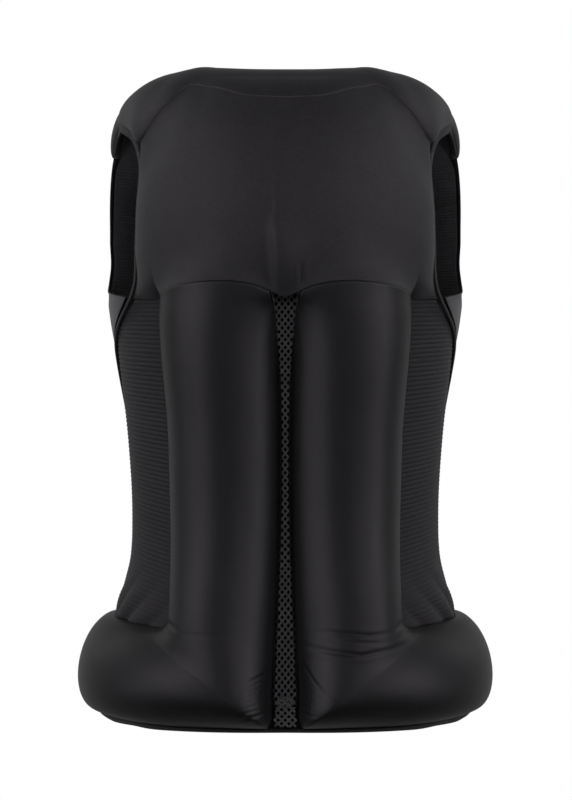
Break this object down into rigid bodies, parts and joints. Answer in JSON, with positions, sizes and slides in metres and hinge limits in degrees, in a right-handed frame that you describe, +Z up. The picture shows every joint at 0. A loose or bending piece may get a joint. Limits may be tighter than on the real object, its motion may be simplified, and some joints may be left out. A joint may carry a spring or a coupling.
{
  "type": "airbag vest",
  "caption": "Inflated airbag vest with a padded upper back, columns beside a mesh spine strip, stretch sides and a thick hip roll, worn over the torso to cushion a fall.",
  "frame": {"origin": "where the vest sits on the wearer's shoulders, midway between them, half way through the body", "axes": "+Z up along the wearer's height, +Y the way the wearer faces, +X to the wearer's right"},
  "size_m": [0.413, 0.3145, 0.6425],
  "materials": {
    "cover": "satin stretch cloth",
    "rib_knit": "ribbed stretch knit",
    "net": "open mesh",
    "lining": "fine mesh",
    "edging": "woven tape",
    "closure": "plain closure strip"
  },
  "bodies": {
    "root": {"upper_back_pad": "cover", "shoulder_yoke": "cover", "back_bladder_left": "cover", "back_bladder_right": "cover", "front_panel_left": "cover", "front_panel_right": "cover", "side_panel_left": "rib_knit", "side_panel_right": "rib_knit", "spine_mesh": "net", "front_lining_left": "lining", "front_lining_right": "lining", "spine_lining": "lining", "armhole_binding_left": "edging", "armhole_binding_right": "edging", "hem_band": "edging", "front_zip": "closure"}
  },
  "joints": []
}
